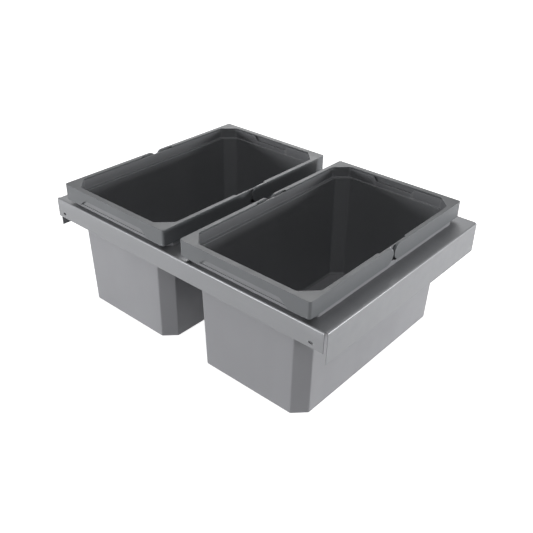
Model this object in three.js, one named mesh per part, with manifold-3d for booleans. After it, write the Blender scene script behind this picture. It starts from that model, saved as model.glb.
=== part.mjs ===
// Drawer insert of a pull-out waste cabinet: a bent sheet-steel carrier frame with two
// tapered plastic bins hanging in its cut-outs. Two U-shaped handles lie round the rim of
// each bin and swing up about trunnions at the middle of its long sides.
// Millimetres. +X runs along the front edge, +Y into the cabinet, +Z up. The origin is at
// the centre of the frame, level with the underside of its top plate.

import * as THREE from 'three';
import { mergeVertices } from 'three/addons/utils/BufferGeometryUtils.js';
import Module from 'manifold-3d';

const wasm = await Module();
wasm.setup();

// ---- carrier frame ----
const FRAME_WIDTH = 550;
const FRAME_DEPTH = 394;
const SHEET = 1.5;
const BEND_RADIUS = 2.5;
const FRONT_FLANGE_HEIGHT = 32;
const REAR_FLANGE_HEIGHT = 32;
const SIDE_FLANGE_HEIGHT = 49.5;
const RIGHT_RELIEF = 4; // from the right end of the front flange to the frame's side
const LEFT_RELIEF = 0; // the left end is level with the side
const SIDE_RELIEF = 3.5; // from each end of a side flange to the frame's front or rear
const SCREW_SLOT_LENGTH = 7;
const SCREW_SLOT_HEIGHT = 4;
const SCREW_SLOTS_X = [-259.5, 251.5]; // centres of the two slots
const SCREW_SLOT_DROP = 24; // from the plate's top to the slot's centre
const CUTOUT_PLAY = 1.8; // round the bin's body

// ---- bin, measured from the outside of its rim, heights from the underside of its flange ----
const RIM_WIDTH = 231;
const RIM_LENGTH = 378;
const RIM_SIDE_MARGIN = 27; // from the frame's side to the rim
const RIM_FRONT_MARGIN = 0.5; // from the frame's front face to the rim
const RIM_TOP = 33.5; // top face of the handles
const REST_GAP = 0.3; // between resting faces
const WALL = 2.5;
const BODY_INSET_X = 11.2; // rim to body, level with the flange
const BODY_INSET_Y = 10;
const BODY_CHAMFER = 18.8;
const BODY_FILLET = 7;
const BODY_DROP = 176; // flange to the bin's foot
const DRAFT_X = 0.024; // inward run of the long walls per millimetre of drop
const DRAFT_Y = 0.019; // inward run of the short walls
const FLANGE_INSET_X = 1.7;
const FLANGE_INSET_Y = 7.4;
const FLANGE_CHAMFER = 14;
const FLANGE_THICKNESS = 2.5;
const LIP_TOP = 6.2; // upstanding edge of the flange, just under the handles
const LIP_THICKNESS = 2; // along the long walls
const SHORT_LIP_THICKNESS = 3; // along the short walls, where it runs into the body
const LUG_HALF_WIDTH = 9; // lug on the lip, under the gap between the handles
const LUG_CREST = 6.6; // from the lip to the top of the curve's control point
const COLLAR_INSET_X = 4.5; // outer face of the wall above the flange
const COLLAR_INSET_Y = 7.3;
const COLLAR_CHAMFER = 21.8;
const COLLAR_BOTTOM = 12.5;
const COLLAR_TOP = 30.6;
const LEDGE_HEIGHT = COLLAR_BOTTOM + WALL; // step inside the bin
const FOOT_WIDTH = 7; // foot round the underside of the floor
const FOOT_HEIGHT = 3;
const NOTCH_HALF_TOP = 39.5; // finger notch in the collar of both short walls
const NOTCH_HALF_BOTTOM = 33;
const NOTCH_DEPTH = 8;
const NOTCH_CORNER_RADIUS = 2;
const APRON_HALF_WIDTH = 91; // wall that hangs from each short wall, behind the finger arch
const APRON_INSET = 3.7; // rim to its outer face
const APRON_THICKNESS = 2;
const APRON_TOP = 22;
const BEAD_INSET = 2.8; // rim to the bead along the apron's lower edge
const BEAD_BOTTOM = 5.8;
const BEAD_TOP = 8.8;

// ---- handles ----
const HANDLE_GAP = 3; // between the ends of the two handles
const SKIRT_BOTTOM = 7.6;
const SKIRT_THICKNESS = 2.2;
const TOP_THICKNESS = 2.2;
const SIDE_BAR_WIDTH = 7;
const FRONT_BAR_WIDTH = 9;
const OPENING_CHAMFER = 22.5;
const RIM_CORNER_RADIUS = 4;
const CHEEK_THICKNESS = 3.8; // solid end of a handle's arm
const NARROW_LENGTH = 32.5; // from the middle of the bin: no lip over the collar
const ARCH_HALF_BOTTOM = 82; // finger arch in the front bar's skirt
const ARCH_HALF_TOP = 66;
const ARCH_TOP = 19.2;
const ARCH_END_RADIUS = 9;
const TRUNNION_RADIUS = 4;
const SOCKET_RADIUS = 4.3;
const TRUNNION_LENGTH = 2.3;
const SOCKET_DEPTH = 2.2;
const END_RADIUS = (RIM_TOP - SKIRT_BOTTOM) / 2;
const PIVOT_Y = HANDLE_GAP / 2 + END_RADIUS;
const PIVOT_Z = SKIRT_BOTTOM + END_RADIUS;

const OVERSHOOT = 1; // how far a cutting solid runs past what it cuts
const ARC_STEPS = 4; // straight steps in each rounded corner
const END_STEPS = 14; // straight steps in the half circle at the end of an arm
const ROD_SIDES = 24;

const HALF_RIM_X = RIM_WIDTH / 2;
const HALF_RIM_Y = RIM_LENGTH / 2;

// ---------------------------------------------------------------- solids

function toSolid(geometry) {
  const bare = geometry.index ? geometry.toNonIndexed() : geometry.clone();
  bare.deleteAttribute('normal');
  bare.deleteAttribute('uv');
  const merged = mergeVertices(bare, 1e-4);
  const mesh = new wasm.Mesh({
    numProp: 3,
    vertProperties: new Float32Array(merged.attributes.position.array),
    triVerts: new Uint32Array(merged.index.array),
  });
  return new wasm.Manifold(mesh);
}

function toGeometry(manifold) {
  const mesh = manifold.getMesh();
  const geometry = new THREE.BufferGeometry();
  geometry.setAttribute('position', new THREE.BufferAttribute(mesh.vertProperties, 3));
  geometry.setIndex(new THREE.BufferAttribute(mesh.triVerts, 1));
  geometry.computeVertexNormals();
  return geometry;
}

// An outline with its corners rounded: points are [x, y, radius].
function roundedShape(points) {
  const shape = new THREE.Shape();
  points.forEach(([x, y, radius], i) => {
    const corner = new THREE.Vector2(x, y);
    const [px, py] = points[(i + points.length - 1) % points.length];
    const [nx, ny] = points[(i + 1) % points.length];
    const back = new THREE.Vector2(px, py).sub(corner).normalize();
    const ahead = new THREE.Vector2(nx, ny).sub(corner).normalize();
    const turn = Math.PI - Math.acos(THREE.MathUtils.clamp(back.dot(ahead), -1, 1));
    const reach = radius * Math.tan(turn / 2);
    const start = corner.clone().addScaledVector(back, reach);
    const end = corner.clone().addScaledVector(ahead, reach);
    if (i === 0) shape.moveTo(start.x, start.y);
    else shape.lineTo(start.x, start.y);
    if (radius > 0) shape.quadraticCurveTo(x, y, end.x, end.y);
  });
  shape.closePath();
  return shape;
}

// Rectangle with chamfered corners, each chamfer blended into the sides.
function chamferedShape(halfX, halfY, leg, fillet) {
  const quarter = [
    [halfX, halfY - leg],
    [halfX - leg, halfY],
  ];
  const points = [
    ...quarter,
    ...quarter.map(([x, y]) => [-x, y]).reverse(),
    ...quarter.map(([x, y]) => [-x, -y]),
    ...quarter.map(([x, y]) => [x, -y]).reverse(),
  ];
  return roundedShape(points.map(([x, y]) => [x, y, fillet]));
}

function prism(shape, bottom, top, steps = ARC_STEPS) {
  const geometry = new THREE.ExtrudeGeometry(shape, {
    depth: top - bottom,
    bevelEnabled: false,
    curveSegments: steps,
  });
  return geometry.translate(0, 0, bottom);
}

// A prism whose walls lean in as they go down; the shape holds at height 0.
function draftedPrism(shape, bottom, top) {
  const geometry = prism(shape, bottom, top);
  const position = geometry.attributes.position;
  for (let i = 0; i < position.count; i += 1) {
    const [x, y, z] = [position.getX(i), position.getY(i), position.getZ(i)];
    position.setX(i, x + Math.sign(x) * DRAFT_X * z);
    position.setY(i, y + Math.sign(y) * DRAFT_Y * z);
  }
  return geometry;
}

// A shape drawn in Y and Z, run along X.
function alongX(shape, from, to, steps = ARC_STEPS) {
  const basis = new THREE.Matrix4().makeBasis(
    new THREE.Vector3(0, 1, 0),
    new THREE.Vector3(0, 0, 1),
    new THREE.Vector3(1, 0, 0),
  );
  return prism(shape, from, to, steps).applyMatrix4(basis);
}

// A shape drawn in X and Z, run along Y from front to back.
function alongY(shape, from, to) {
  const basis = new THREE.Matrix4().makeBasis(
    new THREE.Vector3(1, 0, 0),
    new THREE.Vector3(0, 0, 1),
    new THREE.Vector3(0, -1, 0),
  );
  return prism(shape, -to, -from).applyMatrix4(basis);
}

function rodAlongX(radius, from, to, y, z) {
  const rod = new THREE.CylinderGeometry(radius, radius, to - from, ROD_SIDES);
  return rod.rotateZ(Math.PI / 2).translate((from + to) / 2, y, z);
}

function block(from, to) {
  const size = to.map((value, axis) => value - from[axis]);
  const centre = to.map((value, axis) => (value + from[axis]) / 2);
  return new THREE.BoxGeometry(...size).translate(...centre);
}

// ---------------------------------------------------------------- carrier frame

// Section of the bent sheet: a top plate with a flange hanging from each end.
function channelShape(halfWidth, firstDrop, secondDrop) {
  const bend = BEND_RADIUS;
  const inner = halfWidth - SHEET;
  const shape = new THREE.Shape();
  shape.moveTo(-halfWidth, SHEET - firstDrop);
  shape.lineTo(-inner, SHEET - firstDrop);
  shape.lineTo(-inner, SHEET - bend);
  shape.absarc(-halfWidth + bend, SHEET - bend, bend - SHEET, Math.PI, Math.PI / 2, true);
  shape.lineTo(halfWidth - bend, 0);
  shape.absarc(halfWidth - bend, SHEET - bend, bend - SHEET, Math.PI / 2, 0, true);
  shape.lineTo(inner, SHEET - secondDrop);
  shape.lineTo(halfWidth, SHEET - secondDrop);
  shape.lineTo(halfWidth, SHEET - bend);
  shape.absarc(halfWidth - bend, SHEET - bend, bend, 0, Math.PI / 2, false);
  shape.lineTo(-halfWidth + bend, SHEET);
  shape.absarc(-halfWidth + bend, SHEET - bend, bend, Math.PI / 2, Math.PI, false);
  shape.closePath();
  return shape;
}

function screwSlotShape() {
  const shape = new THREE.Shape();
  const radius = SCREW_SLOT_HEIGHT / 2;
  const reach = SCREW_SLOT_LENGTH / 2 - radius;
  shape.absarc(reach, 0, radius, -Math.PI / 2, Math.PI / 2, false);
  shape.absarc(-reach, 0, radius, Math.PI / 2, (3 * Math.PI) / 2, false);
  shape.closePath();
  return shape;
}

function carrierFrame(binCentres) {
  const halfX = FRAME_WIDTH / 2;
  const halfY = FRAME_DEPTH / 2;
  const frontToBack = channelShape(halfY, FRONT_FLANGE_HEIGHT, REAR_FLANGE_HEIGHT);
  const sideToSide = channelShape(halfX, SIDE_FLANGE_HEIGHT, SIDE_FLANGE_HEIGHT);
  let frame = toSolid(alongX(frontToBack, -halfX + BEND_RADIUS, halfX - RIGHT_RELIEF));
  frame = frame.add(toSolid(alongY(sideToSide, -halfY + SIDE_RELIEF, halfY - SIDE_RELIEF)));

  // the left ends of the front and rear flanges run past the side's bend
  const ends = toSolid(alongX(frontToBack, -halfX + LEFT_RELIEF, -halfX + BEND_RADIUS + OVERSHOOT));
  const between = block(
    [-halfX - OVERSHOOT, -halfY + SIDE_RELIEF, -FRONT_FLANGE_HEIGHT],
    [halfX, halfY - SIDE_RELIEF, SHEET + OVERSHOOT],
  );
  frame = frame.add(ends.subtract(toSolid(between)));
  const cutout = chamferedShape(
    HALF_RIM_X - BODY_INSET_X + CUTOUT_PLAY,
    HALF_RIM_Y - BODY_INSET_Y + CUTOUT_PLAY,
    BODY_CHAMFER,
    BODY_FILLET,
  );
  for (const [x, y] of binCentres) {
    const cut = prism(cutout, -OVERSHOOT, SHEET + OVERSHOOT).translate(x, y, 0);
    frame = frame.subtract(toSolid(cut));
  }
  for (const x of SCREW_SLOTS_X) {
    const slot = alongY(screwSlotShape(), -halfY - OVERSHOOT, -halfY + SHEET + OVERSHOOT);
    slot.translate(x, 0, SHEET - SCREW_SLOT_DROP);
    frame = frame.subtract(toSolid(slot));
  }
  return frame;
}

// ---------------------------------------------------------------- bin

function bodyShape(inset, chamfer) {
  return chamferedShape(
    HALF_RIM_X - BODY_INSET_X - inset,
    HALF_RIM_Y - BODY_INSET_Y - inset,
    chamfer,
    BODY_FILLET,
  );
}

function flangeShape(insetX = 0, insetY = 0) {
  return chamferedShape(
    HALF_RIM_X - FLANGE_INSET_X - insetX,
    HALF_RIM_Y - FLANGE_INSET_Y - insetY,
    FLANGE_CHAMFER,
    BODY_FILLET,
  );
}

function collarShape(inset) {
  return chamferedShape(
    HALF_RIM_X - COLLAR_INSET_X - inset,
    HALF_RIM_Y - COLLAR_INSET_Y - inset,
    COLLAR_CHAMFER,
    BODY_FILLET,
  );
}

// Low rounded lug on the flange's lip, under the gap between the two handles.
function lugShape() {
  const foot = LIP_TOP - FLANGE_THICKNESS / 2;
  const shape = new THREE.Shape();
  shape.moveTo(LUG_HALF_WIDTH, foot);
  shape.quadraticCurveTo(0, LIP_TOP + LUG_CREST, -LUG_HALF_WIDTH, foot);
  shape.closePath();
  return shape;
}

function notchShape() {
  return roundedShape([
    [-NOTCH_HALF_BOTTOM, COLLAR_TOP - NOTCH_DEPTH, NOTCH_CORNER_RADIUS],
    [NOTCH_HALF_BOTTOM, COLLAR_TOP - NOTCH_DEPTH, NOTCH_CORNER_RADIUS],
    [NOTCH_HALF_TOP, COLLAR_TOP + OVERSHOOT, 0],
    [-NOTCH_HALF_TOP, COLLAR_TOP + OVERSHOOT, 0],
  ]);
}

// Section of the apron: a web out from the wall, the hanging wall and the bead at its foot.
function apronShape() {
  const outer = -HALF_RIM_Y + APRON_INSET;
  const inner = outer + APRON_THICKNESS;
  const wall = -HALF_RIM_Y + COLLAR_INSET_Y + WALL / 2;
  const shape = new THREE.Shape();
  shape.moveTo(wall, APRON_TOP);
  shape.lineTo(outer, APRON_TOP);
  shape.lineTo(outer, BEAD_TOP);
  shape.lineTo(-HALF_RIM_Y + BEAD_INSET, BEAD_TOP);
  shape.lineTo(-HALF_RIM_Y + BEAD_INSET, BEAD_BOTTOM);
  shape.lineTo(inner, BEAD_BOTTOM);
  shape.lineTo(inner, APRON_TOP - APRON_THICKNESS);
  shape.lineTo(wall, APRON_TOP - APRON_THICKNESS);
  shape.closePath();
  return shape;
}

function bin() {
  let shell = toSolid(draftedPrism(bodyShape(0, BODY_CHAMFER), -BODY_DROP, COLLAR_BOTTOM + OVERSHOOT));
  shell = shell.add(toSolid(prism(collarShape(0), COLLAR_BOTTOM, COLLAR_TOP)));
  shell = shell.add(toSolid(prism(flangeShape(), 0, FLANGE_THICKNESS)));
  const lip = toSolid(prism(flangeShape(), FLANGE_THICKNESS / 2, LIP_TOP)).subtract(
    toSolid(prism(flangeShape(LIP_THICKNESS, SHORT_LIP_THICKNESS), 0, LIP_TOP + OVERSHOOT)),
  );
  shell = shell.add(lip);
  const apron = alongX(apronShape(), -APRON_HALF_WIDTH, APRON_HALF_WIDTH);
  shell = shell.add(toSolid(apron)).add(toSolid(apron.clone().rotateZ(Math.PI)));

  const inside = bodyShape(WALL, BODY_CHAMFER - WALL / 2);
  const floor = -BODY_DROP + WALL;
  shell = shell.subtract(toSolid(draftedPrism(inside, floor, LEDGE_HEIGHT + OVERSHOOT)));
  shell = shell.subtract(toSolid(prism(collarShape(WALL), LEDGE_HEIGHT, COLLAR_TOP + OVERSHOOT)));

  const panelInset = WALL + FOOT_WIDTH + DRAFT_X * BODY_DROP;
  const panelOver = prism(
    bodyShape(panelInset, BODY_CHAMFER - WALL),
    floor - OVERSHOOT,
    floor + FOOT_HEIGHT,
  );
  const panelUnder = prism(
    bodyShape(panelInset + WALL, BODY_CHAMFER - 2 * WALL),
    -BODY_DROP - OVERSHOOT,
    -BODY_DROP + FOOT_HEIGHT,
  );
  shell = shell.add(toSolid(panelOver)).subtract(toSolid(panelUnder));

  const wallFace = HALF_RIM_X - COLLAR_INSET_X;
  const lipFace = HALF_RIM_X - FLANGE_INSET_X;
  for (const side of [-1, 1]) {
    const lugFrom = side > 0 ? lipFace - LIP_THICKNESS : -lipFace;
    shell = shell.add(toSolid(alongX(lugShape(), lugFrom, lugFrom + LIP_THICKNESS)));
    const trunnionFrom = side > 0 ? wallFace - WALL / 2 : -wallFace - TRUNNION_LENGTH;
    const trunnionTo = trunnionFrom + WALL / 2 + TRUNNION_LENGTH;
    for (const end of [-1, 1]) {
      const rod = rodAlongX(TRUNNION_RADIUS, trunnionFrom, trunnionTo, end * PIVOT_Y, PIVOT_Z);
      shell = shell.add(toSolid(rod));
    }
  }
  const notchEnd = HALF_RIM_Y - COLLAR_INSET_Y - WALL - OVERSHOOT;
  shell = shell.subtract(toSolid(alongY(notchShape(), -HALF_RIM_Y, -notchEnd)));
  shell = shell.subtract(toSolid(alongY(notchShape(), notchEnd, HALF_RIM_Y)));
  return shell;
}

// ---------------------------------------------------------------- handle

// Front half of the rim seen from above, with its two outer corners rounded.
function handleOutline(inset) {
  const halfX = HALF_RIM_X - inset;
  const front = -HALF_RIM_Y + inset;
  const radius = Math.max(RIM_CORNER_RADIUS - inset, 1);
  return roundedShape([
    [-halfX, front, radius],
    [halfX, front, radius],
    [halfX, -HANDLE_GAP / 2, 0],
    [-halfX, -HANDLE_GAP / 2, 0],
  ]);
}

// Side view of an arm: its end is a half circle round the trunnion.
function armShape() {
  const shape = new THREE.Shape();
  shape.moveTo(-HALF_RIM_Y - OVERSHOOT, SKIRT_BOTTOM);
  shape.lineTo(-PIVOT_Y, SKIRT_BOTTOM);
  shape.absarc(-PIVOT_Y, PIVOT_Z, END_RADIUS, -Math.PI / 2, Math.PI / 2, false);
  shape.lineTo(-HALF_RIM_Y - OVERSHOOT, RIM_TOP);
  shape.closePath();
  return shape;
}

// The mouth inside the handle: chamfered at the front, open to the other handle.
function mouthShape() {
  const halfX = HALF_RIM_X - SIDE_BAR_WIDTH;
  const front = -HALF_RIM_Y + FRONT_BAR_WIDTH;
  return roundedShape([
    [-halfX, front + OPENING_CHAMFER, BODY_FILLET],
    [-halfX + OPENING_CHAMFER, front, BODY_FILLET],
    [halfX - OPENING_CHAMFER, front, BODY_FILLET],
    [halfX, front + OPENING_CHAMFER, BODY_FILLET],
    [halfX, OVERSHOOT, 0],
    [-halfX, OVERSHOOT, 0],
  ]);
}

function archShape() {
  return roundedShape([
    [-ARCH_HALF_BOTTOM, SKIRT_BOTTOM - OVERSHOOT, 0],
    [ARCH_HALF_BOTTOM, SKIRT_BOTTOM - OVERSHOOT, 0],
    [ARCH_HALF_TOP, ARCH_TOP, ARCH_END_RADIUS],
    [-ARCH_HALF_TOP, ARCH_TOP, ARCH_END_RADIUS],
  ]);
}

function handle() {
  const profile = alongX(armShape(), -HALF_RIM_X, HALF_RIM_X, END_STEPS);
  let solid = toSolid(prism(handleOutline(0), SKIRT_BOTTOM, RIM_TOP)).intersect(toSolid(profile));

  // hollow under the top face, up to the solid cheeks
  const hollowEnd = -PIVOT_Y - END_RADIUS;
  const hollow = toSolid(
    prism(handleOutline(SKIRT_THICKNESS), SKIRT_BOTTOM - OVERSHOOT, RIM_TOP - TOP_THICKNESS),
  );
  const ahead = toSolid(
    block([-HALF_RIM_X, -HALF_RIM_Y, 0], [HALF_RIM_X, hollowEnd, RIM_TOP]),
  );
  solid = solid.subtract(hollow.intersect(ahead));

  // the mouth, and the narrower arms beside the cheeks
  solid = solid.subtract(toSolid(prism(mouthShape(), 0, RIM_TOP + OVERSHOOT)));
  const cheekFace = HALF_RIM_X - CHEEK_THICKNESS;
  solid = solid.subtract(
    toSolid(block([-cheekFace, -NARROW_LENGTH, 0], [cheekFace, OVERSHOOT, RIM_TOP + OVERSHOOT])),
  );

  for (const side of [-1, 1]) {
    const mouth = side * (cheekFace - OVERSHOOT);
    const bottom = side * (cheekFace + SOCKET_DEPTH);
    const from = Math.min(mouth, bottom);
    const rod = rodAlongX(SOCKET_RADIUS, from, Math.max(mouth, bottom), -PIVOT_Y, PIVOT_Z);
    solid = solid.subtract(toSolid(rod));
  }
  const arch = alongY(archShape(), -HALF_RIM_Y - OVERSHOOT, -HALF_RIM_Y + SKIRT_THICKNESS + OVERSHOOT);
  return solid.subtract(toSolid(arch));
}

// ---------------------------------------------------------------- assembly

const steelPaint = { color: 0xa6a8ab, roughness: 0.35, metalness: 0.7 };
const binPlastic = { color: 0x7c7e81, roughness: 0.6, metalness: 0 };
const handlePlastic = { color: 0x6f7376, roughness: 0.55, metalness: 0 };

function named(name, geometry, look) {
  const mesh = new THREE.Mesh(geometry, new THREE.MeshStandardMaterial(look));
  mesh.name = name;
  return mesh;
}

const binCentreX = FRAME_WIDTH / 2 - RIM_SIDE_MARGIN - HALF_RIM_X;
const binCentreY = -FRAME_DEPTH / 2 + RIM_FRONT_MARGIN + HALF_RIM_Y;
const insert = new THREE.Group();

const frameSolid = carrierFrame([
  [-binCentreX, binCentreY],
  [binCentreX, binCentreY],
]);
insert.add(named('carrier_frame', toGeometry(frameSolid), steelPaint));

const binGeometry = toGeometry(bin());
const handleGeometry = toGeometry(handle());
for (const [side, sign] of [['left', -1], ['right', 1]]) {
  const bucket = new THREE.Group();
  bucket.position.set(sign * binCentreX, binCentreY, SHEET + REST_GAP);
  bucket.add(named(`${side}_bin`, binGeometry, binPlastic));
  bucket.add(named(`${side}_bin_front_handle`, handleGeometry, handlePlastic));
  const rear = named(`${side}_bin_rear_handle`, handleGeometry, handlePlastic);
  rear.rotation.z = Math.PI;
  bucket.add(rear);
  insert.add(bucket);
}

export default insert;
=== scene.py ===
import math

import bmesh
import bpy
from bmesh.types import BMEdge, BMFace, BMVert
from mathutils import Matrix, Vector


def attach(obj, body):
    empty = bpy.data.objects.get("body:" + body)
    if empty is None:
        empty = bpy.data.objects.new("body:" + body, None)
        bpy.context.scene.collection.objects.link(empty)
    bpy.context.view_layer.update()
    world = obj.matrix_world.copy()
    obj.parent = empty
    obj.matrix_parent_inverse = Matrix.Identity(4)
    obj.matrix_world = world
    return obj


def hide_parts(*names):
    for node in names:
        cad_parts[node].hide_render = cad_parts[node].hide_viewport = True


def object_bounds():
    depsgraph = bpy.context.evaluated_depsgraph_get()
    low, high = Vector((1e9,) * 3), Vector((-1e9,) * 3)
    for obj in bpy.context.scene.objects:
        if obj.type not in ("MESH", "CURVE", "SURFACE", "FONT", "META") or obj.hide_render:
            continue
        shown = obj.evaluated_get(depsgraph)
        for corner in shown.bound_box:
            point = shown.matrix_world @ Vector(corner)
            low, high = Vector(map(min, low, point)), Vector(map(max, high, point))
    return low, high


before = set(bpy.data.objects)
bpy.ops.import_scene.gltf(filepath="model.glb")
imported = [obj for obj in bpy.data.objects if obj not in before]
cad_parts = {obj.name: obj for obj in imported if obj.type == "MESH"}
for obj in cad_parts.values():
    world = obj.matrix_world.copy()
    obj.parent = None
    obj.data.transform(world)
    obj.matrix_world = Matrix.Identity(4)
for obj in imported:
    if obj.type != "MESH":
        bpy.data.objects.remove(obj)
cad_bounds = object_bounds()

# Pieces are modelled in millimetres and brought to metres at the end.
MM = 0.001
NEAR = 0.01                 # how far a face or edge may lie from the place it is picked by
MERGE = 0.001               # vertices nearer than this are one
CORNER_STEPS = 6            # flat steps of a rounded corner
SHARP_OVER = 40             # degrees between faces from which an edge is picked to be rounded
SMOOTH_UNDER = 38           # degrees between faces up to which a finished surface shades smooth
ROUNDING_AREA = 14.0        # a vertex whose faces are all smaller than this lies on a rounding

RIGHT = Vector((1, 0, 0))
BACK = Vector((0, 1, 0))
UP = Vector((0, 0, 1))

# ---- carrier frame: from its centre and the underside of its plate ----
SHEET = 1.5
BEND_RADIUS = 2.5
BEND_STEPS = 6
SHEET_EDGE = 0.25
SHEET_EDGE_OVER = 50        # degrees
FRAME_HALF_X = 275.0
FRAME_HALF_Y = 197.0
FLANGE_BOTTOM = -30.5
SIDE_FLANGE_BOTTOM = -48.0
RIGHT_RELIEF = 4.0
SIDE_RELIEF = 3.5
SLOT_CENTRES = (-259.5, 251.5)
SLOT_HEIGHT = -22.5
SLOT_RADIUS = 2.0
SLOT_REACH = 1.5            # from the slot's middle to the centre of each round end
CUTOUT = (106.1, 180.8, 18.8)   # half width, half length, chamfer
CUTOUT_FILLET = 7.0

# ---- bins: from their own centre and the underside of their flange ----
BIN_CENTRES = {"left": (-132.5, -7.5, 1.8), "right": (132.5, -7.5, 1.8)}
STACK_STEP = 30.0           # distance between the outlines while they are joined
LIP_TOP = 6.2
COLLAR_TOP = 30.6
COLLAR_END_Y = 176.0        # only the short walls lie past this
COLLAR_STEP = 14.0          # the collar's walls and the step inside it lie above this
NOTCH_TOP = 39.5            # half width of the notch at the collar's top
NOTCH_BOTTOM = 33.0         # half width of its level floor
NOTCH_DEPTH = 8.0
NOTCH_BAND = 2.0            # what lies this far under the collar's top moves with it
NOTCH_EASE = 0.35           # share of the notch's slope that eases in and out
NOTCH_STEPS = 6
LIP_INSIDE_X = 111.4        # only the lip lies past this
LIP_FOOT = 2.6
LUG_HALF_WIDTH = 9.0
LUG_START = 4.95            # height of the lug's curve at its ends, inside the lip
LUG_RISE = 3.925
LUG_BAND = 1.0
LUG_STEPS = 6
APRON_HALF_WIDTH = 91.0
APRON_TOP = 29.5
APRON_THICKNESS = 2.0
APRON_FACE = 185.3
APRON_ROOT = 180.5
APRON_EDGE = 0.4
WEB_TOP = 22.0
WEB_THICKNESS = 2.0
BEAD_FACE = 186.2
BEAD_TOP = 8.8
BEAD_BOTTOM = 5.8
TRUNNION_RADIUS = 4.0
TRUNNION_ROOT = 109.75
TRUNNION_TIP = 113.3
TRUNNION_EDGE = 0.5
TRUNNION_SIDES = 32
PIVOT_Y = 14.45
PIVOT_Z = 20.55
# the bin's outside below this height gets the paler colour, as painted light from below
LIT_WALL_TOP = 2.0
FACES_DOWN = -0.5           # height of a normal from which a surface counts as an underside

# Outline after outline from the underside to the inside of the floor:
# half width, half length, chamfer, corner radius, height, radius of the edge there.
BIN_LEVELS = [
    (88.1, 162.8, 13.8, 4, -173.0, 0.8),
    (88.6, 163.3, 13.8, 4, -176.0, 0.8),
    (100.1, 175.7, 18.8, 4, -176.0, 1.4),
    (104.3, 179.0, 18.8, 4, 0.0, 0.4),
    (113.8, 181.6, 14.0, 5, 0.0, 0.4),
    (113.8, 181.6, 14.0, 5, LIP_TOP, 0.7),
    (111.8, 179.4, 13.2, 4, LIP_TOP, 0.7),
    (111.8, 179.4, 13.2, 4, 2.5, 0.4),
    (104.4, 179.1, 18.8, 4, 2.5, 0.4),
    (104.6, 179.3, 18.8, 4, 12.5, 0.4),
    (111.0, 181.7, 21.8, 7, 12.5, 0.8),
    (111.0, 181.7, 21.8, 7, COLLAR_TOP, 0.8),
    (108.5, 179.2, 20.8, 6, COLLAR_TOP, 0.8),
    (108.5, 179.2, 20.8, 6, 15.0, 1.0),
    (102.2, 176.8, 17.8, 6, 15.0, 1.0),
    (97.6, 173.2, 17.8, 6, -173.5, 3.0),
    (90.6, 165.3, 16.3, 5, -173.5, 0.8),
    (90.2, 164.9, 16.3, 5, -170.5, 1.2),
]

# ---- handles: from the bin's centre and the underside of its flange, drawn as the front one ----
HALF_RIM_X = 115.5
HALF_RIM_Y = 189.0
RIM_CORNER = 4.0
RIM_TOP = 33.5
SKIRT_BOTTOM = 7.6
SKIRT = 2.2                 # thickness of the skirt and of the top plate
HANDLE_END = -1.5
END_RADIUS = 12.93          # just under half of the handle's height
END_STEPS = 12
CHEEK_FACE = 111.7
CHEEK_START = -27.4
SOCKET_RADIUS = 4.3
SOCKET_DEPTH = 2.2
SOCKET_CLEAR = 5.0          # edges nearer to the pivot than this are the socket's
MOUTH_HALF_X = 108.5
MOUTH_FRONT = -180.0
MOUTH_CHAMFER = 22.5
MOUTH_FILLET = 7.0
NARROW_START = -32.5
NARROW_SLANT = 2.0
NARROW_LIMIT = -35.0        # just past the slanted ends
ARCH_HALF_BOTTOM = 82.0
ARCH_HALF_TOP = 66.0
ARCH_TOP = 19.2
ARCH_FOOT = 6.6
ARCH_RADIUS = 9.0
OUTER_BAND = 3.0            # edges on top nearer to the long side than this belong to the rim
RIM_EDGE = 2.4
MOUTH_EDGE = 1.3
FOOT_EDGE = 0.45

# ---- finishes: noise patterns are used between these values ----
PATTERN_LOW = 0.3
PATTERN_HIGH = 0.7

# ---- camera, floor and lamps, in metres and degrees ----
CAMERA_PLACE = (0.66419, -0.76868, 0.51745)
CAMERA_TURN = 40.425
CAMERA_RISE = 31.482
CAMERA_ROLL = 1.174
CAMERA_LENS = 47.905
CAMERA_SENSOR = 36.0
CAMERA_REACH = 20.0
FLOOR_HALF = 6.0
FLOOR_GAP = 0.0005
FLOOR_TONE = (0.85, 0.85, 0.85)
FLOOR_GLOW = 0.92
FILL_LIGHT = 0.04
WHITE = (1, 1, 1)
LAMP_TARGET = Vector((0, 0, -0.06))
LAMP_DISTANCE = 3.0
# Name, turn from the front towards the right, rise, power, width.
LAMPS = [
    ("right side", 120, 4, 58, 0.6),
    ("front", -28, 4, 50, 0.6),
    ("left rear", -140, 35, 32, 1.4),
    ("overhead", 40, 55, 13, 1.4),
]


# ------------------------------------------------------------------ modelling tools

def only(kind, geom):
    """The members of an operator's result that are of one kind."""
    return [g for g in geom if isinstance(g, kind)]


def bevel_edges(bm, edges, width, segments):
    bmesh.ops.bevel(bm, geom=list(edges), offset=width, offset_type="OFFSET", segments=segments,
                    profile=0.5, affect="EDGES", material=-1, clamp_overlap=True)


def bevel_corners(bm, verts, reach, segments):
    bmesh.ops.bevel(bm, geom=list(verts), offset=reach, offset_type="OFFSET", segments=segments,
                    profile=0.5, affect="VERTICES", material=-1)


def flat_panel(bm, half_x, half_y, centre):
    """One rectangular face, level, about its centre."""
    verts = bmesh.ops.create_grid(bm, x_segments=1, y_segments=1, size=1.0)["verts"]
    bmesh.ops.scale(bm, vec=(half_x, half_y, 1), verts=verts)
    bmesh.ops.translate(bm, vec=centre, verts=verts)
    return verts


def cut(bm, faces, point, normal):
    """Cuts faces along a plane and returns all that they are now."""
    faces = [f for f in faces if f.is_valid]
    geom = dict.fromkeys(faces)
    for face in faces:
        geom.update(dict.fromkeys(face.edges))
        geom.update(dict.fromkeys(face.verts))
    done = bmesh.ops.bisect_plane(bm, geom=list(geom), dist=1e-4, plane_co=point,
                                  plane_no=normal)
    return only(BMFace, done["geom"])


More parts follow.
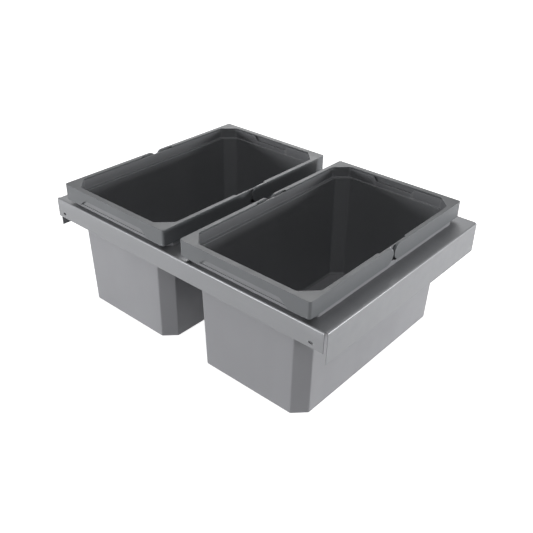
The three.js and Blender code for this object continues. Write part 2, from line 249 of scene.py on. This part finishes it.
def punch(bm, faces, planes):
    """Takes a convex opening out of flat faces; planes are (point, outward normal)."""
    inside = list(faces)
    for point, normal in planes:
        pieces = cut(bm, inside, point, normal)
        normal, point = Vector(normal), Vector(point)
        inside = [f for f in pieces if (f.calc_center_median() - point).dot(normal) < 0]
    bmesh.ops.delete(bm, geom=inside, context="FACES")


def arc_planes(centre, radius, start, end, across, up):
    """Planes that touch an arc, from one direction between across and up to another."""
    planes = []
    for i in range(CORNER_STEPS + 1):
        angle = math.radians(start + (end - start) * i / CORNER_STEPS)
        out = across * math.cos(angle) + up * math.sin(angle)
        planes.append((Vector(centre) + out * radius, out))
    return planes


def corner_planes(half_x, half_y, leg, fillet, centre, across, up):
    """Planes round a chamfered corner whose chamfer is blended into both sides."""
    middle_of_both = half_x + half_y - leg - math.sqrt(2) * fillet
    near = (half_x - fillet, middle_of_both - (half_x - fillet))
    far = (middle_of_both - (half_y - fillet), half_y - fillet)
    planes = []
    for (x, y), start in ((near, 0), (far, 45)):
        arc_centre = Vector(centre) + across * x + up * y
        planes += arc_planes(arc_centre, fillet, start, start + 45, across, up)
    return planes


def sharp_edges(bm):
    return [e for e in bm.edges if len(e.link_faces) == 2
            and e.calc_face_angle(0) > math.radians(SHARP_OVER)]


def middle(edge):
    return (edge.verts[0].co + edge.verts[1].co) / 2


def add_to_scene(name, data):
    made = bpy.data.objects.new(name, data)
    bpy.context.scene.collection.objects.link(made)
    return made


def make_piece(bm, name, look, body, node):
    """Closes a bmesh, brings it to metres and sets it up as a finished piece."""
    bmesh.ops.remove_doubles(bm, verts=bm.verts, dist=MERGE)
    bmesh.ops.recalc_face_normals(bm, faces=bm.faces)
    # Vertices on roundings are marked; the finishes paint them paler, partly as wear and partly as
    # painted highlight
    wear_and_highlight = bm.verts.layers.float.new("edge")
    for vert in bm.verts:
        widest = max((f.calc_area() for f in vert.link_faces), default=0)
        vert[wear_and_highlight] = 1.0 if widest < ROUNDING_AREA else 0.0
    bmesh.ops.scale(bm, vec=(MM, MM, MM), verts=bm.verts)
    mesh = bpy.data.meshes.new(name)
    bm.to_mesh(mesh)
    bm.free()
    mesh.shade_smooth()
    mesh.set_sharp_from_angle(angle=math.radians(SMOOTH_UNDER))
    mesh.materials.append(look)
    piece = add_to_scene(name, mesh)
    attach(piece, body)
    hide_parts(node)
    return piece


def even_shading(piece):
    """Keeps broad flat faces flat in the shading beside their rounded edges."""
    modifier = piece.modifiers.new("even shading", "WEIGHTED_NORMAL")
    modifier.keep_sharp = True
    modifier.weight = 80


# ------------------------------------------------------------------ finishes

def node_material(name):
    look = bpy.data.materials.new(name)
    look.use_nodes = True
    tree = look.node_tree
    return look, tree.nodes, tree.links, tree.nodes["Principled BSDF"]


def feed(links, value, socket):
    """Links another node's output to a socket, or writes a plain value there."""
    if isinstance(value, bpy.types.NodeSocket):
        links.new(value, socket)
    else:
        socket.default_value = value


def calculate(nodes, links, operation, first, second):
    step = nodes.new("ShaderNodeMath")
    step.operation = operation
    feed(links, first, step.inputs[0])
    feed(links, second, step.inputs[1])
    return step.outputs["Value"]


def marked(nodes, name):
    """The mark of this name on the piece's vertices, 0 to 1."""
    mark = nodes.new("ShaderNodeAttribute")
    mark.attribute_name = name
    return mark.outputs["Fac"]


def noise(nodes, links, where, scale, detail, stretch=(1, 1, 1)):
    place = nodes.new("ShaderNodeMapping")
    place.inputs["Scale"].default_value = stretch
    links.new(where, place.inputs["Vector"])
    pattern = nodes.new("ShaderNodeTexNoise")
    pattern.inputs["Scale"].default_value = scale
    pattern.inputs["Detail"].default_value = detail
    links.new(place.outputs["Vector"], pattern.inputs["Vector"])
    return pattern.outputs["Fac"]


def mottled(nodes, links, pattern, colour, spread):
    """A colour that is a little darker where the pattern is low and lighter where it is high."""
    shades = nodes.new("ShaderNodeValToRGB")
    low, high = shades.color_ramp.elements
    low.position = PATTERN_LOW
    low.color = (*(c * (1 - spread) for c in colour), 1)
    high.position = PATTERN_HIGH
    high.color = (*(c * (1 + spread) for c in colour), 1)
    links.new(pattern, shades.inputs["Fac"])
    return shades.outputs["Color"]


def varied(nodes, links, pattern, value, spread):
    """A number that goes with the pattern from a little under its value to a little over."""
    change = nodes.new("ShaderNodeMapRange")
    change.inputs["From Min"].default_value = PATTERN_LOW
    change.inputs["From Max"].default_value = PATTERN_HIGH
    change.inputs["To Min"].default_value = value - spread
    change.inputs["To Max"].default_value = value + spread
    links.new(pattern, change.inputs["Value"])
    return change.outputs["Result"]


def blend_colours(nodes, links, factor, first, second):
    mix = nodes.new("ShaderNodeMix")
    mix.data_type = "RGBA"
    feed(links, factor, mix.inputs["Factor"])
    feed(links, first, mix.inputs["A"])
    feed(links, second, mix.inputs["B"])
    return mix.outputs["Result"]


def bump(nodes, links, height, strength, distance, under=None):
    relief = nodes.new("ShaderNodeBump")
    relief.inputs["Strength"].default_value = strength
    relief.inputs["Distance"].default_value = distance
    links.new(height, relief.inputs["Height"])
    if under:
        links.new(under, relief.inputs["Normal"])
    return relief.outputs["Normal"]


def moulded_plastic(name, colour, lit_wall_colour, worn_and_highlight, roughness, grain, grain_depth):
    """Moulded plastic: spark-eroded grain, faint flow marks, and paler edges that are partly
    rubbed wear and partly painted highlight.
    """
    look, nodes, links, shader = node_material(name)
    where = nodes.new("ShaderNodeTexCoord").outputs["Object"]
    flow = noise(nodes, links, where, scale=9, detail=2, stretch=(1, 1, 0.35))
    tone = mottled(nodes, links, flow, colour, 0.05)
    # the paler wall colour is painted light on the bin's outside and undersides; the plain colour
    # is painted shade on its collar and inside
    wall = mottled(nodes, links, flow, lit_wall_colour, 0.05)
    tone = blend_colours(nodes, links, marked(nodes, "painted_light_wall"), tone, wall)
    patches = noise(nodes, links, where, scale=60, detail=3)
    # paler edges in patches: partly rubbed wear, partly painted highlight
    rub_and_highlight = calculate(nodes, links, "MULTIPLY", marked(nodes, "edge"), patches)
    links.new(blend_colours(nodes, links, rub_and_highlight, tone, (*worn_and_highlight, 1)), shader.inputs["Base Color"])
    sheen = noise(nodes, links, where, scale=35, detail=4)
    links.new(varied(nodes, links, sheen, roughness, 0.05), shader.inputs["Roughness"])
    fine = bump(nodes, links, noise(nodes, links, where, scale=grain, detail=2), strength=0.35,
                distance=grain_depth)
    links.new(bump(nodes, links, flow, strength=0.15, distance=0.0004, under=fine),
              shader.inputs["Normal"])
    shader.inputs["IOR"].default_value = 1.5
    shader.inputs["Specular IOR Level"].default_value = 0.35
    return look


def painted_steel(name, colour, cut_edge_and_highlight, roughness):
    """Satin silver paint over sheet steel: orange peel, faint rolling marks, and paler edges that
    are partly bare cut steel and partly painted highlight.
    """
    look, nodes, links, shader = node_material(name)
    where = nodes.new("ShaderNodeTexCoord").outputs["Object"]
    rolled = noise(nodes, links, where, scale=14, detail=4, stretch=(0.25, 4, 4))
    tone = mottled(nodes, links, rolled, colour, 0.03)
    # the marked edges' paler colour is partly bare steel, partly painted highlight
    links.new(blend_colours(nodes, links, marked(nodes, "edge"), tone, (*cut_edge_and_highlight, 1)),
              shader.inputs["Base Color"])
    sheen = noise(nodes, links, where, scale=28, detail=3)
    links.new(varied(nodes, links, sheen, roughness, 0.03), shader.inputs["Roughness"])
    peel = noise(nodes, links, where, scale=900, detail=2)
    links.new(bump(nodes, links, peel, strength=0.12, distance=0.00004),
              shader.inputs["Normal"])
    shader.inputs["Metallic"].default_value = 0.5
    return look


frame_look = painted_steel("silver_paint", colour=(0.24, 0.244, 0.255),
                           cut_edge_and_highlight=(0.3, 0.305, 0.315), roughness=0.42)
# One plastic in two tones: the darker colour is painted shade on the collar and inside, the paler
# wall colour is painted light on the outside
bin_look = moulded_plastic("bin_plastic", colour=(0.225, 0.23, 0.242),
                           lit_wall_colour=(0.308, 0.31, 0.328), worn_and_highlight=(0.3, 0.305, 0.318),
                           roughness=0.42, grain=1700, grain_depth=0.00008)
# The handles are the bins' plastic; their darker colour is painted shade
shaded_handle_look = moulded_plastic("handle_plastic", colour=(0.15, 0.157, 0.166),
                              lit_wall_colour=(0.15, 0.157, 0.166), worn_and_highlight=(0.2, 0.209, 0.22),
                              roughness=0.48, grain=2400, grain_depth=0.00004)


# ------------------------------------------------------------------ carrier frame

def fold(bm, edges, axis, centre, drop_to, turn):
    """Bends the sheet a quarter turn along its edges and runs it down as a flange."""
    turned = bmesh.ops.spin(bm, geom=edges, cent=centre, axis=axis, angle=math.radians(turn),
                            steps=BEND_STEPS, use_duplicate=False)
    down = bmesh.ops.extrude_edge_only(bm, edges=only(BMEdge, turned["geom_last"]))
    for vert in only(BMVert, down["geom"]):
        vert.co.z = drop_to


def flat_sheet(bm, flat_x, flat_y):
    """The plate before it is folded, with its reliefs, and its right flange's strip left flat."""
    relief_x = FRAME_HALF_X - RIGHT_RELIEF
    relief_y = FRAME_HALF_Y - SIDE_RELIEF
    flat_panel(bm, (FRAME_HALF_X + flat_x) / 2, flat_y, ((flat_x - FRAME_HALF_X) / 2, 0, SHEET))
    for point, normal in (((-flat_x, 0, 0), RIGHT), ((relief_x, 0, 0), RIGHT),
                          ((0, relief_y, 0), BACK), ((0, -relief_y, 0), BACK)):
        cut(bm, bm.faces[:], point, normal)
    spare = []
    for face in bm.faces:
        where = face.calc_center_median()
        left_strip = where.x < -flat_x and where.y > -relief_y
        right_corner = where.x > relief_x and abs(where.y) > relief_y
        if left_strip or right_corner:
            spare.append(face)
    bmesh.ops.delete(bm, geom=spare, context="FACES")


def fold_flanges(bm, flat_x, flat_y):
    relief_y = FRAME_HALF_Y - SIDE_RELIEF
    rim = [e for e in bm.edges if e.is_boundary]
    front = [e for e in rim if middle(e).y < NEAR - flat_y]
    rear = [e for e in rim if middle(e).y > flat_y - NEAR]
    left = [e for e in rim if middle(e).x < NEAR - flat_x and abs(middle(e).y) < relief_y]
    right = [e for e in rim if middle(e).x > flat_x - NEAR]
    height = SHEET - BEND_RADIUS
    fold(bm, front, RIGHT, (0, -flat_y, height), FLANGE_BOTTOM, 90)
    fold(bm, rear, RIGHT, (0, flat_y, height), FLANGE_BOTTOM, -90)
    fold(bm, left, BACK, (-flat_x, 0, height), SIDE_FLANGE_BOTTOM, -90)
    fold(bm, right, BACK, (flat_x, 0, height), SIDE_FLANGE_BOTTOM, 90)


def cut_outs(bm):
    """The openings in the plate that the bins hang in."""
    for centre in BIN_CENTRES.values():
        plate = [f for f in bm.faces if abs(f.calc_center_median().z - SHEET) < NEAR]
        planes = []
        for across in (RIGHT, -RIGHT):
            for along in (BACK, -BACK):
                planes += corner_planes(*CUTOUT, CUTOUT_FILLET, centre, across, along)
        punch(bm, plate, planes)


def screw_slots(bm):
    for x in SLOT_CENTRES:
        front = [f for f in bm.faces if f.calc_center_median().y < NEAR - FRAME_HALF_Y]
        planes = []
        for side in (1, -1):
            centre = (x + side * SLOT_REACH, -FRAME_HALF_Y, SLOT_HEIGHT)
            planes += arc_planes(centre, SLOT_RADIUS, -90, 90, RIGHT * side, UP)
        punch(bm, front, planes)


def carrier_frame():
    bm = bmesh.new()
    flat_x = FRAME_HALF_X - BEND_RADIUS
    flat_y = FRAME_HALF_Y - BEND_RADIUS
    flat_sheet(bm, flat_x, flat_y)
    fold_flanges(bm, flat_x, flat_y)
    cut_outs(bm)
    screw_slots(bm)
    piece = make_piece(bm, "sheet_frame", frame_look, "frame", "carrier_frame")
    thick = piece.modifiers.new("sheet thickness", "SOLIDIFY")
    thick.thickness = SHEET * MM
    thick.offset = -1
    thick.use_even_offset = True
    edge = piece.modifiers.new("eased edges", "BEVEL")
    edge.width = SHEET_EDGE * MM
    edge.segments = 2
    edge.limit_method = "ANGLE"
    edge.angle_limit = math.radians(SHEET_EDGE_OVER)
    even_shading(piece)


# ------------------------------------------------------------------ bins

def level(bm, half_x, half_y, chamfer, fillet, height):
    """One outline of the bin, as a loop of edges."""
    corners = flat_panel(bm, half_x, half_y, (0, 0, height))
    bevel_corners(bm, corners, chamfer, 1)
    chamfered = bm.faces[:][0]
    bevel_corners(bm, chamfered.verts, fillet * math.tan(math.radians(22.5)), CORNER_STEPS)
    rounded = bm.faces[:][0]
    edges = rounded.edges[:]
    bmesh.ops.delete(bm, geom=[rounded], context="FACES_ONLY")
    return edges


def bin_shell(bm):
    """Joins the outlines as a tall stack, then brings each one to its own height."""
    loops = [level(bm, *row[:4], STACK_STEP * i) for i, row in enumerate(BIN_LEVELS)]
    for below, above in zip(loops, loops[1:]):
        bmesh.ops.bridge_loops(bm, edges=below + above)
    for loop, row in zip(loops, BIN_LEVELS):
        for edge in loop:
            for vert in edge.verts:
                vert.co.z = row[4]
    bmesh.ops.edgeloop_fill(bm, edges=loops[0])
    bmesh.ops.edgeloop_fill(bm, edges=loops[-1])
    bmesh.ops.recalc_face_normals(bm, faces=bm.faces)
    for loop, row in zip(loops, BIN_LEVELS):
        bevel_edges(bm, [e for e in loop if e.is_valid], row[5], segments=3)


def finger_notches(bm):
    """Lowers the collar at the middle of both short walls."""
    slope = NOTCH_TOP - NOTCH_BOTTOM
    for side in (-1, 1):
        for i in range(-1, NOTCH_STEPS + 2):
            wall = [f for f in bm.faces if abs(f.calc_center_median().y) > COLLAR_END_Y
                    and f.calc_center_median().z > COLLAR_STEP]
            cut(bm, wall, (side * (NOTCH_BOTTOM + slope * i / NOTCH_STEPS), 0, 0), RIGHT)
    for vert in bm.verts:
        if abs(vert.co.y) > COLLAR_END_Y and vert.co.z > COLLAR_TOP - NOTCH_BAND:
            share = min(max((NOTCH_TOP - abs(vert.co.x)) / slope, 0), 1)
            eased = share * share * (3 - 2 * share)
            vert.co.z -= NOTCH_DEPTH * ((1 - NOTCH_EASE) * share + NOTCH_EASE * eased)


def lip_lugs(bm):
    """Raises a low rounded lug on the lip, under the gap between the handles."""
    for i in range(-LUG_STEPS, LUG_STEPS + 1):
        lip = [f for f in bm.faces if abs(f.calc_center_median().x) > LIP_INSIDE_X
               and f.calc_center_median().z > LIP_FOOT]
        cut(bm, lip, (0, LUG_HALF_WIDTH * i / LUG_STEPS, 0), BACK)
    for vert in bm.verts:
        on_lip = abs(vert.co.x) > LIP_INSIDE_X and vert.co.z > LIP_TOP - LUG_BAND
        if on_lip and abs(vert.co.y) < LUG_HALF_WIDTH:
            lug_height = LUG_START + LUG_RISE * (1 - (vert.co.y / LUG_HALF_WIDTH) ** 2)
            vert.co.z += max(lug_height - LIP_TOP, 0)


def trunnions(bm):
    """Two round pins on each long side, which the handles swing on."""
    for side in (-1, 1):
        for end in (-1, 1):
            pin = bmesh.ops.create_cone(bm, cap_ends=True, segments=TRUNNION_SIDES,
                                        radius1=TRUNNION_RADIUS, radius2=TRUNNION_RADIUS,
                                        depth=TRUNNION_TIP - TRUNNION_ROOT)["verts"]
            tip = [e for e in sharp_edges(bm) if e.verts[0] in pin and middle(e).z > 0]
            bmesh.ops.rotate(bm, verts=pin, cent=(0, 0, 0),
                             matrix=Matrix.Rotation(side * math.pi / 2, 3, "Y"))
            bmesh.ops.translate(bm, verts=pin, vec=(side * (TRUNNION_ROOT + TRUNNION_TIP) / 2,
                                                    end * PIVOT_Y, PIVOT_Z))
            bevel_edges(bm, tip, TRUNNION_EDGE, segments=2)


def aprons(bm):
    """Behind each finger arch a thin wall, with a bead at its foot and a web to the bin."""
    back = APRON_FACE - APRON_THICKNESS
    centre = APRON_FACE - APRON_THICKNESS / 2
    web_foot = WEB_TOP - WEB_THICKNESS
    for side in (-1, 1):
        verts = bmesh.ops.create_cube(bm, size=1.0)["verts"]
        bmesh.ops.scale(bm, verts=verts, vec=(2 * APRON_HALF_WIDTH, APRON_THICKNESS,
                                              APRON_TOP - BEAD_BOTTOM))
        bmesh.ops.translate(bm, verts=verts, vec=(0, side * centre,
                                                  (APRON_TOP + BEAD_BOTTOM) / 2))
        slab = dict.fromkeys(f for v in verts for f in v.link_faces)
        outer = [f for f in slab if side * f.calc_center_median().y > APRON_FACE - NEAR]
        inner = [f for f in slab if side * f.calc_center_median().y < back + NEAR]
        bead = [f for f in cut(bm, outer, (0, 0, BEAD_TOP), UP)
                if f.calc_center_median().z < BEAD_TOP]
        inner = cut(bm, cut(bm, inner, (0, 0, web_foot), UP), (0, 0, WEB_TOP), UP)
        web = [f for f in inner if web_foot < f.calc_center_median().z < WEB_TOP]
        for faces, run in ((bead, BEAD_FACE - APRON_FACE), (web, APRON_ROOT - back)):
            grown = bmesh.ops.extrude_face_region(bm, geom=faces)["geom"]
            bmesh.ops.delete(bm, geom=faces, context="FACES")
            bmesh.ops.translate(bm, verts=only(BMVert, grown), vec=(0, side * run, 0))
        edges = [e for e in sharp_edges(bm) if side * middle(e).y > centre + NEAR
                 and abs(middle(e).x) < APRON_HALF_WIDTH + NEAR]
        bevel_edges(bm, edges, APRON_EDGE, segments=2)


def mark_painted_light_wall(bm):
    """Marks the outside below the flange and the undersides, which are painted paler as painted
    light; the collar and the inside keep the darker colour as painted shade.
    """
    bmesh.ops.recalc_face_normals(bm, faces=bm.faces)
    bm.normal_update()
    mark = bm.verts.layers.float.new("painted_light_wall")
    for vert in bm.verts:
        outward = vert.normal.x * vert.co.x + vert.normal.y * vert.co.y > 0
        painted_lit = vert.co.z < LIT_WALL_TOP and (outward or vert.normal.z < FACES_DOWN)
        vert[mark] = 1.0 if painted_lit else 0.0


def make_bin(side):
    bm = bmesh.new()
    bin_shell(bm)
    finger_notches(bm)
    lip_lugs(bm)
    trunnions(bm)
    aprons(bm)
    mark_painted_light_wall(bm)
    bmesh.ops.translate(bm, verts=bm.verts, vec=BIN_CENTRES[side])
    piece = make_piece(bm, f"{side}_bin_shell", bin_look, f"{side}_bin_body", f"{side}_bin")
    even_shading(piece)


# ------------------------------------------------------------------ handles

def mouth_planes():
    """The opening of the bin between the handle's arms, open towards the other handle."""
    planes = []
    for side in (1, -1):
        planes += corner_planes(MOUTH_HALF_X, -MOUTH_FRONT, MOUTH_CHAMFER, MOUTH_FILLET,
                                (0, 0, 0), RIGHT * side, -BACK)
    return planes


def narrow_planes():
    """The stretch of both arms beside the trunnions, where their inner edges step back."""
    planes = [((0, NARROW_LIMIT, 0), -BACK)]
    step = CHEEK_FACE - MOUTH_HALF_X
    for side in (1, -1):
        planes.append(((side * CHEEK_FACE, 0, 0), RIGHT * side))
        planes.append(((side * CHEEK_FACE, NARROW_START, 0), (side * NARROW_SLANT, -step, 0)))
    return planes


def arch_planes():
    """The finger arch: a flat top, slanted ends and large rounded corners."""
    start = math.degrees(math.atan2(ARCH_HALF_BOTTOM - ARCH_HALF_TOP, ARCH_TOP - ARCH_FOOT))
    back = ARCH_RADIUS * math.tan(math.radians((90 - start) / 2))
    planes = []
    for side in (1, -1):
        centre = (side * (ARCH_HALF_TOP - back), 0, ARCH_TOP - ARCH_RADIUS)
        planes += arc_planes(centre, ARCH_RADIUS, start, 90, RIGHT * side, UP)
    return planes


def handle_body(bm):
    """Top plate with a skirt round its outer edge and a solid cheek at the end of each arm."""
    flat_panel(bm, HALF_RIM_X, (HALF_RIM_Y + HANDLE_END) / 2,
               (0, (HANDLE_END - HALF_RIM_Y) / 2, RIM_TOP))
    corners = [v for v in bm.verts if v.co.y < NEAR - HALF_RIM_Y]
    bevel_corners(bm, corners, RIM_CORNER, CORNER_STEPS)
    punch(bm, bm.faces[:], mouth_planes())
    punch(bm, bm.faces[:], narrow_planes())
    sunk = bmesh.ops.extrude_face_region(bm, geom=bm.faces[:], use_keep_orig=True)["geom"]
    bmesh.ops.translate(bm, verts=only(BMVert, sunk), vec=(0, 0, -SKIRT))
    under = only(BMFace, sunk)
    inner_x = HALF_RIM_X - SKIRT
    inner_y = SKIRT - HALF_RIM_Y
    for point, normal in (((inner_x, 0, 0), RIGHT), ((-inner_x, 0, 0), RIGHT),
                          ((0, inner_y, 0), BACK), ((0, CHEEK_START, 0), BACK)):
        under = cut(bm, under, point, normal)
    solid = []
    for face in under:
        where = face.calc_center_median()
        if abs(where.x) > inner_x or where.y < inner_y or where.y > CHEEK_START:
            solid.append(face)
    lowered = bmesh.ops.extrude_face_region(bm, geom=solid)["geom"]
    bmesh.ops.delete(bm, geom=solid, context="FACES")
    bmesh.ops.translate(bm, verts=only(BMVert, lowered),
                        vec=(0, 0, SKIRT_BOTTOM + SKIRT - RIM_TOP))
    bmesh.ops.recalc_face_normals(bm, faces=bm.faces)
    bmesh.ops.dissolve_limit(bm, angle_limit=math.radians(0.5), verts=bm.verts, edges=bm.edges)


def round_ends(bm):
    """Rounds the end of each arm, from the top and from below."""
    ends = [e for e in sharp_edges(bm) if middle(e).y > HANDLE_END - NEAR
            and abs(middle(e).x) < HALF_RIM_X - NEAR
            and abs(e.verts[0].co.z - e.verts[1].co.z) < NEAR]
    bevel_edges(bm, ends, END_RADIUS, END_STEPS)


def handle_arch(bm):
    """Cuts the finger arch through both faces of the skirt and closes its edge."""
    skirt = [f for f in bm.faces if f.calc_center_median().y < SKIRT - HALF_RIM_Y + NEAR
             and f.calc_center_median().z < RIM_TOP - SKIRT + NEAR]
    foot = [f for f in bm.faces if f.calc_center_median().z < SKIRT_BOTTOM + NEAR]
    punch(bm, skirt + foot, arch_planes())
    open_edges = [e for e in bm.edges if e.is_boundary
                  and abs(e.verts[0].co.y - e.verts[1].co.y) < NEAR]
    bmesh.ops.bridge_loops(bm, edges=open_edges)


def handle_sockets(bm):
    """A round socket for the trunnion in the inner face of each cheek."""
    for side in (1, -1):
        centre = (side * CHEEK_FACE, -PIVOT_Y, PIVOT_Z)
        face = [f for f in bm.faces if abs(f.calc_center_median().x - side * CHEEK_FACE) < NEAR]
        planes = []
        for start in (0, 180):
            planes += arc_planes(centre, SOCKET_RADIUS, start, start + 180, BACK, UP)
        punch(bm, face, planes)
        rim = [e for e in bm.edges if e.is_boundary]
        deep = bmesh.ops.extrude_edge_only(bm, edges=rim)["geom"]
        bmesh.ops.translate(bm, verts=only(BMVert, deep), vec=(side * SOCKET_DEPTH, 0, 0))
        bmesh.ops.edgeloop_fill(bm, edges=[e for e in only(BMEdge, deep) if e.is_boundary])


def handle_edges(bm):
    """Rounds the rim's outer edge most, the mouth's less and the skirt's foot least."""
    outer, inner, lower = [], [], []
    pivot = Vector((-PIVOT_Y, PIVOT_Z))
    for edge in sharp_edges(bm):
        where = middle(edge)
        on_top = where.z > RIM_TOP - NEAR
        at_side = abs(where.x) > HALF_RIM_X - OUTER_BAND or where.y < RIM_CORNER - HALF_RIM_Y
        at_end = where.y > CHEEK_START + NEAR
        past_socket = (Vector((where.y, where.z)) - pivot).length > SOCKET_CLEAR
        if on_top and at_side or at_end and abs(where.x) > HALF_RIM_X - NEAR:
            outer.append(edge)
        elif on_top or at_end and abs(where.x) < CHEEK_FACE + NEAR and past_socket:
            inner.append(edge)
        elif where.z < SKIRT_BOTTOM + NEAR and not at_end or where.y < SKIRT - HALF_RIM_Y + NEAR:
            lower.append(edge)
    for edges, width, segments in ((lower, FOOT_EDGE, 2), (inner, MOUTH_EDGE, 3),
                                   (outer, RIM_EDGE, 4)):
        bevel_edges(bm, [e for e in edges if e.is_valid], width, segments)


def make_handle(side, end):
    bm = bmesh.new()
    handle_body(bm)
    round_ends(bm)
    handle_arch(bm)
    handle_sockets(bm)
    handle_edges(bm)
    if end == "rear":
        half_turn = Matrix.Rotation(math.pi, 3, "Z")
        bmesh.ops.rotate(bm, verts=bm.verts, cent=(0, 0, 0), matrix=half_turn)
    bmesh.ops.translate(bm, verts=bm.verts, vec=BIN_CENTRES[side])
    piece = make_piece(bm, f"{side}_{end}_rim_handle", shaded_handle_look, f"{side}_{end}_handle_body",
                       f"{side}_bin_{end}_handle")
    even_shading(piece)


carrier_frame()
for side in ("left", "right"):
    make_bin(side)
    for end in ("front", "rear"):
        make_handle(side, end)


# ------------------------------------------------------------------ camera, floor and light

def direction(turn, rise):
    """Turned from the front towards the right, and raised, in degrees."""
    turn, rise = math.radians(turn), math.radians(rise)
    return Vector((math.sin(turn) * math.cos(rise), -math.cos(turn) * math.cos(rise),
                   math.sin(rise)))


def camera():
    turn, roll = math.radians(CAMERA_TURN), math.radians(CAMERA_ROLL)
    backward = direction(CAMERA_TURN, CAMERA_RISE)
    level_right = Vector((math.cos(turn), math.sin(turn), 0))
    level_up = backward.cross(level_right)
    right = level_right * math.cos(roll) + level_up * math.sin(roll)
    up = level_up * math.cos(roll) - level_right * math.sin(roll)
    view = Matrix((right, up, backward)).transposed().to_4x4()
    view.translation = CAMERA_PLACE
    made = add_to_scene("camera", bpy.data.cameras.new("camera"))
    made.matrix_world = view
    made.data.lens = CAMERA_LENS
    made.data.sensor_width = CAMERA_SENSOR
    made.data.clip_end = CAMERA_REACH
    bpy.context.scene.camera = made


def lamp(name, turn, rise, power, width):
    """A soft disc that faces the object."""
    light = bpy.data.lights.new(name, "AREA")
    light.shape = "DISK"
    light.size = width
    light.energy = power
    made = add_to_scene(name, light)
    out = direction(turn, rise)
    made.location = LAMP_TARGET + out * LAMP_DISTANCE
    made.rotation_euler = (-out).to_track_quat("-Z", "Y").to_euler()


def seen_directly(nodes, links):
    """1 where the camera sees a surface itself or in a reflection, 0 where it only gives light."""
    rays = nodes.new("ShaderNodeLightPath")
    seen = rays.outputs["Is Camera Ray"]
    for kind in ("Is Glossy Ray", "Is Transmission Ray"):
        seen = calculate(nodes, links, "MAXIMUM", seen, rays.outputs[kind])
    return seen


def pale_floor():
    """A white floor that keeps a light shadow."""
    bm = bmesh.new()
    flat_panel(bm, FLOOR_HALF, FLOOR_HALF, (0, 0, cad_bounds[0][2] - FLOOR_GAP))
    mesh = bpy.data.meshes.new("floor")
    bm.to_mesh(mesh)
    bm.free()
    look, nodes, links, shader = node_material("floor")
    shader.inputs["Base Color"].default_value = (*FLOOR_TONE, 1)
    shader.inputs["Roughness"].default_value = 0.9
    glow = nodes.new("ShaderNodeEmission")
    share = calculate(nodes, links, "MULTIPLY", seen_directly(nodes, links), FLOOR_GLOW)
    links.new(share, glow.inputs["Strength"])
    both = nodes.new("ShaderNodeAddShader")
    links.new(shader.outputs["BSDF"], both.inputs[0])
    links.new(glow.outputs["Emission"], both.inputs[1])
    links.new(both.outputs["Shader"], nodes["Material Output"].inputs["Surface"])
    mesh.materials.append(look)
    add_to_scene("floor", mesh)


def surround():
    """White to the eye and in reflections, and a dim fill light on everything."""
    world = bpy.data.worlds.new("studio")
    world.use_nodes = True
    nodes, links = world.node_tree.nodes, world.node_tree.links
    fill = nodes["Background"]
    fill.inputs["Color"].default_value = (*WHITE, 1)
    fill.inputs["Strength"].default_value = FILL_LIGHT
    white = nodes.new("ShaderNodeBackground")
    white.inputs["Color"].default_value = (*WHITE, 1)
    mix = nodes.new("ShaderNodeMixShader")
    links.new(seen_directly(nodes, links), mix.inputs["Fac"])
    links.new(fill.outputs["Background"], mix.inputs[1])
    links.new(white.outputs["Background"], mix.inputs[2])
    links.new(mix.outputs["Shader"], nodes["World Output"].inputs["Surface"])
    bpy.context.scene.world = world


camera()
pale_floor()
surround()
for row in LAMPS:
    lamp(*row)

bpy.context.scene.view_settings.view_transform = "Standard"
